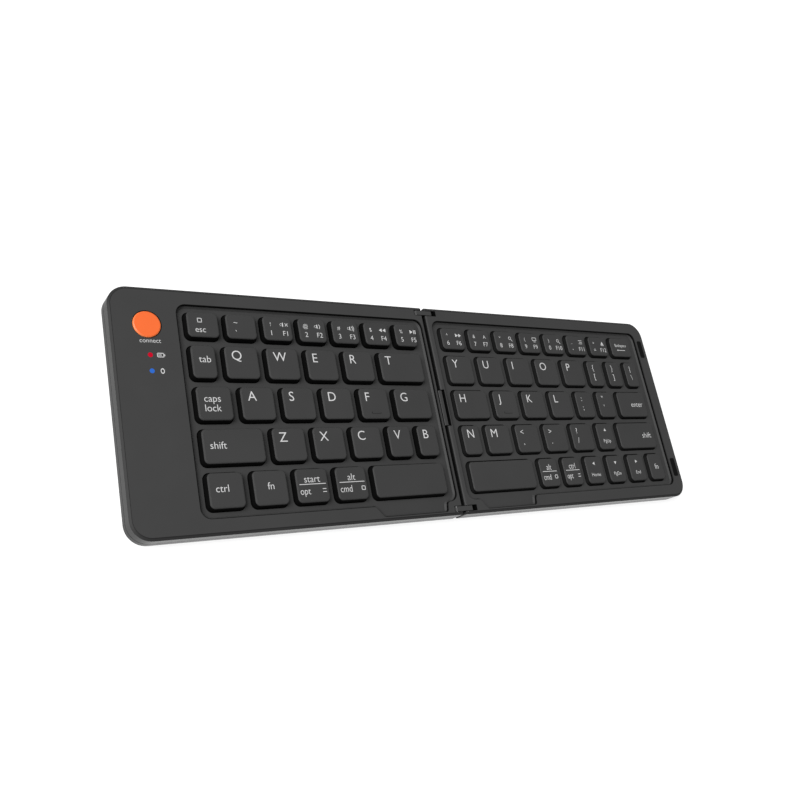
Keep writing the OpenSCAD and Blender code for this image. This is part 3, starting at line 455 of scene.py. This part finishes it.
# %% Give every node its finish
slot_of = {s["node"]: s["material_slot"] for s in frame["record"]["subparts"]}
for name, node in nodes.items():
    node.data.materials.clear()
    node.data.materials.append(finishes[slot_of[name]])
print("finishes", len(finishes))

# %% [markdown]
# ## Where each key is
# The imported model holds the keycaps, one node for a letter and one node for a group such as the number
# row. Loose parts of a node's mesh give the place of each cap, so the legends can be set on it.

# %% Key places
SAME_POINT = 1e-6


def loose_boxes(node):
    """Boxes (x0, x1, y0, y1, top) of a node's separate solids, back row first, left to right."""
    mesh = bmesh.new()
    mesh.from_mesh(node.data)
    bmesh.ops.remove_doubles(mesh, verts=mesh.verts, dist=SAME_POINT)
    boxes, seen = [], set()
    for start in mesh.verts:
        if start in seen:
            continue
        seen.add(start)
        island, waiting = [], [start]
        while waiting:
            vert = waiting.pop()
            island.append(vert.co.copy())
            for edge in vert.link_edges:
                other = edge.other_vert(vert)
                if other not in seen:
                    seen.add(other)
                    waiting.append(other)
        xs, ys, zs = ([co[i] for co in island] for i in range(3))
        boxes.append((min(xs), max(xs), min(ys), max(ys), max(zs)))
    mesh.free()
    return sorted(boxes, key=lambda b: (-round(b[2], 3), b[0]))


KEY_GROUPS = {
    "left_number_keys": ["esc", "grave", "one", "two", "three", "four", "five"],
    "left_side_keys": ["tab", "caps_lock", "left_shift", "left_ctrl", "left_fn", "start", "left_alt"],
    "right_number_keys": ["six", "seven", "eight", "nine", "zero", "minus", "equals", "backspace"],
    "symbol_keys": ["bracket_left", "bracket_right", "backslash", "semicolon", "quote",
                    "comma", "period", "slash"],
    "right_side_keys": ["enter", "arrow_up", "right_shift", "right_alt", "right_ctrl",
                        "arrow_left", "arrow_down", "arrow_right", "right_fn"],
}
key_boxes, key_node = {}, {}
for name in nodes:
    if name.endswith(("_key", "_keys")):
        labels = KEY_GROUPS.get(name, [name.removesuffix("_key")])
        boxes = loose_boxes(nodes[name])
        assert len(boxes) == len(labels), (name, len(boxes))
        for label, box in zip(labels, boxes):
            key_boxes[label], key_node[label] = box, name
print("keys", len(key_boxes))

# %% [markdown]
# ## Legends
# The letters are laser-etched or pad-printed in white, a few hundredths of a millimetre thick. They
# could be painted by a shader, but a thin solid keeps its sharp outline from close by. Blender's own
# letter shapes are turned to meshes and set on the key tops.

# %% Legend ink
PRINT_THICKNESS = 0.03 * MM
PRINT_SINK = 0.015 * MM
LETTER_WEIGHT = -0.005
CURVE_STEPS = 4
legend_ink = moulded("legend_ink", (0.42, 0.42, 0.42), None, 0.6, depth=0.05)


def letter_mesh(text, bold):
    """The mesh of a text at size 1, with its lower left corner at the origin of its own line."""
    curve = bpy.data.curves.new("letters", "FONT")
    curve.body = text
    curve.resolution_u = CURVE_STEPS
    curve.offset = bold
    curve.extrude = 0.5
    holder = bpy.data.objects.new("letters", curve)
    bpy.context.scene.collection.objects.link(holder)
    depsgraph = bpy.context.evaluated_depsgraph_get()
    mesh = bpy.data.meshes.new_from_object(holder.evaluated_get(depsgraph))
    bpy.data.objects.remove(holder)
    bpy.data.curves.remove(curve)
    return mesh


def span(mesh, axis):
    """Lowest and highest coordinate of a mesh along one axis."""
    values = [v.co[axis] for v in mesh.vertices]
    return min(values), max(values)


capital = letter_mesh("H", 0.0)
CAP_HEIGHT = span(capital, 1)[1]
print("capital height at size 1", round(CAP_HEIGHT, 3))


def set_text(target, text, cap, at, surface, align="left", squeeze=0.99):
    """Adds a text of capital height cap to the bmesh target. at is its align side at mid-height."""
    mesh = letter_mesh(text, LETTER_WEIGHT)
    low, high = span(mesh, 0)
    start = {"left": low, "middle": (low + high) / 2, "right": high}[align]
    size = cap / CAP_HEIGHT
    place = (
        Matrix.Translation((at[0], at[1] - cap / 2, surface - PRINT_SINK + PRINT_THICKNESS / 2))
        @ Matrix.Diagonal((size * squeeze, size, PRINT_THICKNESS, 1))
        @ Matrix.Translation((-start, 0, 0)))
    mesh.transform(place)
    target.from_mesh(mesh)
    bpy.data.meshes.remove(mesh)


def set_outline(target, points, surface):
    """Adds a flat shape with these corners, as a thin closed plate, to the bmesh target."""
    low = surface - PRINT_SINK
    base = [target.verts.new((x, y, low)) for x, y in points]
    top = [target.verts.new((x, y, low + PRINT_THICKNESS)) for x, y in points]
    count = len(points)
    target.faces.new(top)
    target.faces.new(base[::-1])
    for i in range(count):
        j = (i + 1) % count
        target.faces.new((base[i], base[j], top[j], top[i]))


def set_bar(target, start, end, width, surface):
    """Adds a straight stroke between two points."""
    start, end = Vector(start), Vector(end)
    side = (end - start).normalized().orthogonal() * width / 2
    set_outline(target, [start - side, end - side, end + side, start + side], surface)


def set_triangle(target, at, size, turn, surface):
    """Adds a triangle that points along turn, in degrees from +X."""
    corners = [Vector((math.cos(a), math.sin(a))) * size
               for a in (math.radians(turn + step) for step in (0, 120, 240))]
    set_outline(target, [Vector(at) + c for c in corners], surface)


def set_ring(target, at, radius, width, surface, sides=20, squeeze=1.0):
    """Adds a ring as a row of short plates, made narrower along X by squeeze."""
    for i in range(sides):
        a, b = (2 * math.pi * (i + step) / sides for step in (0, 1))
        plate = ((a, radius - width), (a, radius), (b, radius), (b, radius - width))
        set_outline(target, [
            (at[0] + math.cos(angle) * r * squeeze, at[1] + math.sin(angle) * r)
            for angle, r in plate], surface)


def set_box(target, at, reach, width, surface):
    """Adds a square outline."""
    signs = ((-1, -1), (1, -1), (1, 1), (-1, 1))
    corners = [(at[0] + reach * a, at[1] + reach * b) for a, b in signs]
    for start, end in zip(corners, corners[1:] + corners[:1]):
        set_bar(target, start, end, width, surface)


# %% [markdown]
# ## What each key says
# A letter stands near the key's back left corner. A number key has four small marks, and the keys at
# the sides have a word. The places are millimetres from the key's left edge or middle.

# %% Legend sizes and places
LETTER_CAP = 3.9 * MM
WORD_CAP = 2.75 * MM
SMALL_CAP = 2.15 * MM
TINY_CAP = 1.7 * MM
LETTER_INSET = 3.3 * MM
LETTER_DROP = 4.3 * MM
MARK_LEFT = 3.7 * MM
MARK_RIGHT = 10.0 * MM
MARK_UP = 1.75 * MM
MARK_DOWN = -2.1 * MM
SYMBOL_SHARE = 0.78
ICON_SCALE = 1.25
LINE_PITCH = 3.85 * MM
RULE_WIDTH = 0.28 * MM
SIGN_WIDTH = 0.3 * MM
PAIR_SHIFT = 0.9 * MM
PAIR_UP = 3.2 * MM
PAIR_DOWN = 1.6 * MM
RULED_UP = 2.6 * MM
RULED_DOWN = 2.2 * MM
RULED_MARGIN = 1.7 * MM
RULE_UP = 0.5 * MM
FULL_WIDTH = 14 * MM
ARROW_SIZE = 0.95 * MM
ARROW_WORD_DOWN = 2.4 * MM
BACKSPACE_ARROW_DOWN = 1.7 * MM

NUMBER_MARKS = {
    "one": ("!", "1", "F1"), "two": ("@", "2", "F2"), "three": ("#", "3", "F3"),
    "four": ("$", "4", "F4"), "five": ("%", "5", "F5"), "six": ("^", "6", "F6"),
    "seven": ("&", "7", "F7"), "eight": ("*", "8", "F8"), "nine": ("(", "9", "F9"),
    "zero": (")", "0", "F10"), "minus": ("_", "-", "F11"), "equals": ("+", "=", "F12"),
}
PAIRS = {
    "bracket_left": "{[", "bracket_right": "}]", "backslash": "|\\", "semicolon": ":;", "quote": "\"'",
    "comma": "<,", "period": ">.", "slash": "?/",
}
WORDS = {
    "tab": (["tab"], "left"), "caps_lock": (["caps", "lock"], "left"),
    "left_shift": (["shift"], "left"), "left_ctrl": (["ctrl"], "left"),
    "left_fn": (["fn"], "middle"), "right_fn": (["fn"], "middle"),
    "enter": (["enter"], "right"), "right_shift": (["shift"], "right"),
}
WORD_SHIFT_Y = {"tab": 1.0 * MM, "left_ctrl": 0.7 * MM, "left_fn": 0.7 * MM, "left_shift": 0.3 * MM}
RULED = {"start": ("start", "opt"), "left_alt": ("alt", "cmd"), "right_alt": ("alt", "cmd"),
         "right_ctrl": ("ctrl", "opt")}
ARROWS = {"arrow_up": (90, "PgUp"), "arrow_down": (-90, "PgDn"), "arrow_left": (180, "Home"),
          "arrow_right": (0, "End")}


def icon(target, name, x, y, surface):
    """The small sign above an F number, drawn with strokes round x, y."""
    unit = ICON_SCALE * MM

    def bar(x0, y0, x1, y1, width=0.22):
        start, end = (x + x0 * unit, y + y0 * unit), (x + x1 * unit, y + y1 * unit)
        set_bar(target, start, end, width * unit, surface)

    def triangle(dx, size, turn, dy=0.0):
        set_triangle(target, (x + dx * unit, y + dy * unit), size * unit, turn, surface)

    if name in ("F1", "F2", "F3"):
        triangle(-0.9, 0.9, 180)
        bar(-1.5, 0, -0.9, 0, 0.9)
        if name == "F1":
            bar(0.2, -0.5, 1.2, 0.5)
            bar(0.2, 0.5, 1.2, -0.5)
        for wave in range({"F1": 0, "F2": 1, "F3": 2}[name]):
            reach = 0.35 + 0.55 * wave
            bar(reach - 0.25, 0.8 + 0.2 * wave, reach + 0.1, 0)
            bar(reach + 0.1, 0, reach - 0.25, -0.8 - 0.2 * wave)
    elif name in ("F4", "F6"):
        turn = 180 if name == "F4" else 0
        triangle(-0.75, 0.8, turn)
        triangle(0.75, 0.8, turn)
    elif name == "F5":
        triangle(-0.8, 0.85, 0)
        bar(0.5, -0.75, 0.5, 0.75, 0.3)
        bar(1.15, -0.75, 1.15, 0.75, 0.3)
    elif name == "F7":
        set_text(target, "A", 1.7 * MM, (x, y), surface, "middle")
    elif name in ("F8", "F10"):
        set_ring(target, (x, y + 0.1 * MM), 0.85 * MM, 0.24 * MM, surface)
        bar(0.45, -0.55, 1.15, -1.15)
    elif name == "F9":
        for corner in ((-1, 0.8, 1, 0.8), (1, 0.8, 1, -0.4), (1, -0.4, -1, -0.4), (-1, -0.4, -1, 0.8)):
            bar(*corner)
        bar(-0.5, -0.95, 0.5, -0.95)
    elif name == "F11":
        bar(-1, 0.7, 1, 0.7)
        bar(-0.6, 0, 1, 0)
        bar(-1, -0.7, 1, -0.7)
    elif name == "F12":
        triangle(0, 0.95, 90, -0.15)
        bar(-0.9, -0.95, 0.9, -0.95)


# %% Draw the legends of one key
def draw_legend(target, label):
    """Adds the print of one key. F and J are measured by a neighbour, which has no home bar."""
    x0, x1, y0, y1, surface = key_boxes[label]
    if label in ("f", "j"):
        surface = key_boxes["d" if label == "f" else "k"][4]
    middle_x, middle_y = (x0 + x1) / 2, (y0 + y1) / 2
    left = x0 + LETTER_INSET
    if len(label) == 1:
        set_text(target, label.upper(), LETTER_CAP, (left, y1 - LETTER_DROP), surface)
    elif label in NUMBER_MARKS:
        upper, lower, function = NUMBER_MARKS[label]
        near, far = x0 + MARK_LEFT, x0 + MARK_RIGHT
        high, low = middle_y + MARK_UP, middle_y + MARK_DOWN
        set_text(target, upper, SYMBOL_SHARE * SMALL_CAP, (near, high), surface, "middle")
        set_text(target, lower, SMALL_CAP, (near, low), surface, "middle")
        set_text(target, function, SMALL_CAP, (far, low), surface, "middle", squeeze=0.98)
        icon(target, function, far, high, surface)
    elif label in PAIRS:
        upper, lower = PAIRS[label]
        set_text(target, upper, WORD_CAP, (left + PAIR_SHIFT, middle_y + PAIR_UP), surface, "middle")
        set_text(target, lower, WORD_CAP, (left + PAIR_SHIFT, middle_y - PAIR_DOWN), surface, "middle")
    elif label in WORDS:
        lines, align = WORDS[label]
        x = {"left": left, "middle": middle_x, "right": x1 - LETTER_INSET}[align]
        first_y = middle_y + WORD_SHIFT_Y.get(label, 0.0) + (len(lines) - 1) * LINE_PITCH / 2
        for i, line in enumerate(lines):
            set_text(target, line, WORD_CAP, (x, first_y - i * LINE_PITCH), surface, align)
    elif label in RULED:
        upper, lower = RULED[label]
        narrow = 0.94 if x1 - x0 > FULL_WIDTH else 0.8
        reach = (x1 - x0) / 2 - RULED_MARGIN
        rule_y, low = middle_y + RULE_UP, middle_y - RULED_DOWN
        set_text(target, upper, WORD_CAP, (middle_x, middle_y + RULED_UP), surface, "middle",
                 squeeze=narrow)
        set_text(target, lower, WORD_CAP, (middle_x - reach, low), surface, "left",
                 squeeze=0.88 * narrow)
        sign_x = middle_x + reach - 0.9 * MM
        if lower == "cmd":
            set_box(target, (sign_x, low), 0.75 * MM, SIGN_WIDTH, surface)
        else:
            for y in (low - 0.6 * MM, low + 0.6 * MM):
                set_bar(target, (sign_x - 0.8 * MM, y), (sign_x + 0.8 * MM, y), SIGN_WIDTH, surface)
        set_bar(target, (middle_x - reach, rule_y), (middle_x + reach, rule_y), RULE_WIDTH, surface)
    elif label in ARROWS:
        turn, word = ARROWS[label]
        set_triangle(target, (middle_x, middle_y + PAIR_UP), ARROW_SIZE, turn, surface)
        set_text(target, word, TINY_CAP, (middle_x, middle_y - ARROW_WORD_DOWN), surface, "middle")
    elif label == "esc":
        x = middle_x - 1.3 * MM
        set_box(target, (x, middle_y + MARK_UP), 0.8 * MM, 0.28 * MM, surface)
        set_text(target, "esc", 1.1 * SMALL_CAP, (x, middle_y + MARK_DOWN), surface, "middle")
    elif label == "grave":
        x, low = x0 + MARK_LEFT, middle_y + MARK_DOWN - 0.9 * MM
        set_text(target, "~", SMALL_CAP, (x + 0.8 * MM, middle_y + MARK_UP), surface, "middle")
        set_text(target, "`", 1.3 * SMALL_CAP, (x + 0.6 * MM, low), surface, "middle")
    elif label == "backspace":
        set_text(target, "Backspace", TINY_CAP, (middle_x, middle_y + 1.1 * MM), surface, "middle",
                 squeeze=0.85)
        y = middle_y - BACKSPACE_ARROW_DOWN
        set_bar(target, (middle_x - 2.6 * MM, y), (middle_x + 2.8 * MM, y), RULE_WIDTH, surface)
        set_triangle(target, (middle_x - 2.8 * MM, y), 0.6 * MM, 180, surface)


def finish_print(name, body, target, ink):
    """Turns a bmesh of prints into a piece that rides on a body."""
    mesh = bpy.data.meshes.new(name)
    target.to_mesh(mesh)
    target.free()
    mesh.materials.clear()
    mesh.materials.append(ink)
    for polygon in mesh.polygons:
        polygon.material_index = 0
    piece = bpy.data.objects.new(name, mesh)
    bpy.context.scene.collection.objects.link(piece)
    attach(piece, body)


# %% Print every key
printed = 0
for name in sorted(set(key_node.values())):
    target = bmesh.new()
    for label, node_name in key_node.items():
        if node_name == name:
            draw_legend(target, label)
    if target.verts:
        finish_print(name + "_legend", name, target, legend_ink)
        printed += 1
    else:
        target.free()
print("key pieces with legends", printed)

# %% [markdown]
# ## The panel
# Beside the keys is a plain panel with the connect button, the word under it, and a small sign beside
# each light: a battery beside the red one and a plain narrow ring beside the blue one, where the real
# keyboard has the mark of its radio link.

# %% Panel print
PANEL_WORD_CAP = 1.75 * MM
PANEL_WORD_RIGHT = 0.6 * MM
PANEL_WORD_DOWN = 6.6 * MM
SIGN_RIGHT = 4.0 * MM
SIGN_RING = {"radius": 1.1 * MM, "width": 0.42 * MM, "squeeze": 0.72}
BATTERY_STROKES = (  # start and end in mm from the sign's middle
    ((-1.3, 0.75), (1.1, 0.75)), ((1.1, 0.75), (1.1, -0.75)),
    ((1.1, -0.75), (-1.3, -0.75)), ((-1.3, -0.75), (-1.3, 0.75)),
    ((-0.7, 0.4), (-0.7, -0.4)), ((0, 0.4), (0, -0.4)), ((1.5, 0.35), (1.5, -0.35)),
)

panel_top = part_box("left_top_frame")[1].z
target = bmesh.new()
word_place = (button_middle.x + PANEL_WORD_RIGHT, button_middle.y - PANEL_WORD_DOWN)
set_text(target, "connect", PANEL_WORD_CAP, word_place, panel_top, "middle")
x = button_middle.x + SIGN_RIGHT
for name in ("power_light", "link_light"):
    low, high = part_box(name)
    y = (low.y + high.y) / 2
    if name == "power_light":
        for start, end in BATTERY_STROKES:
            set_bar(target, (x + start[0] * MM, y + start[1] * MM), (x + end[0] * MM, y + end[1] * MM),
                    SIGN_WIDTH, panel_top)
    else:
        set_ring(target, (x, y), surface=panel_top, **SIGN_RING)
finish_print("panel_print", "left_half", target, legend_ink)
print("panel top in mm", round(panel_top / MM, 2))

# %% [markdown]
# ## The slanted ends of the finger scoops
# The front rim dips beside each space key, so that a finger can lift the folded case. The dip starts
# with a slanted wall with round corners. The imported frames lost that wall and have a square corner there,
# so one small block of the frame's own plastic fills each corner, with the well's slope at its foot and
# its fine edge at the top. All its places are in millimetres and hold for this size of the case only.

# %% Scoop ends
WELL_EDGE_Y = -42.5
SCOOP_EDGE_Y = -47.0
SCOOP_SLANT = 3.5
SCOOP_CORNER = 1.2
SQUARE_REACH = 1.0
FRONT_RUN = 4
# Height, and how far the wall stands inside its edge there
WALL_LEVELS = ((6.8, 0.8), (6.9, 0.8), (7.54, 0.0), (8.55, 0.0), (8.8, -0.25))
# X where the scoop starts, and the last corner of the wall's line that the block keeps
SCOOP_STARTS = {"left_half": (-45.7736, 5), "right_half": (8.59635, 6)}


def rounded(corner, toward_a, toward_b):
    """Three points on the arc that rounds a corner between two unit directions."""
    cosine = toward_a.dot(toward_b)
    centre = corner + (toward_a + toward_b).normalized() * SCOOP_CORNER / math.sqrt((1 - cosine) / 2)
    run = SCOOP_CORNER * math.sqrt((1 + cosine) / (1 - cosine))
    first, last = (corner + toward * run - centre for toward in (toward_a, toward_b))
    return [centre + first.lerp(last, t).normalized() * SCOOP_CORNER for t in (0, 0.5, 1)]


def shifted(points, distance):
    """The same broken line, moved to its left by a distance, with its corners kept sharp."""
    moved = [points[0] + (points[1] - points[0]).normalized().orthogonal() * distance]
    for before, here, after in zip(points, points[1:], points[2:]):
        normals = [step.normalized().orthogonal() for step in (here - before, after - here)]
        moved.append(here + (normals[0] + normals[1]) * distance / (1 + normals[0].dot(normals[1])))
    return moved


for body, (start_x, kept) in SCOOP_STARTS.items():
    back_corner = Vector((start_x, WELL_EDGE_Y))
    front_corner = Vector((start_x + SCOOP_SLANT, SCOOP_EDGE_Y))
    down = (front_corner - back_corner).normalized()
    right = Vector((1, 0))
    line = [back_corner - right * SQUARE_REACH, *rounded(back_corner, -right, down),
            *rounded(front_corner, -down, right), front_corner + right * FRONT_RUN]
    target = bmesh.new()
    rings = []
    for height, distance in WALL_LEVELS:
        moved = shifted(line, distance)
        last, following = moved[kept], (*moved, moved[-1] + right)[kept + 1]
        slope = (following.y - last.y) / (following.x - last.x)
        square = Vector((moved[0].x, last.y + slope * (moved[0].x - last.x)))
        outline = (*moved[:kept + 1], square)
        rings.append([target.verts.new((p.x * MM, p.y * MM, height * MM)) for p in outline])
    for low_ring, high_ring in zip(rings, rings[1:]):
        for i in range(len(low_ring)):
            j = (i + 1) % len(low_ring)
            target.faces.new((low_ring[i], low_ring[j], high_ring[j], high_ring[i]))
    target.faces.new(rings[0][::-1])
    target.faces.new(rings[-1])
    bmesh.ops.recalc_face_normals(target, faces=target.faces)
    finish_print(body + "_scoop_end", body, target, finishes["top_frame"])
print("scoop ends", len(SCOOP_STARTS))
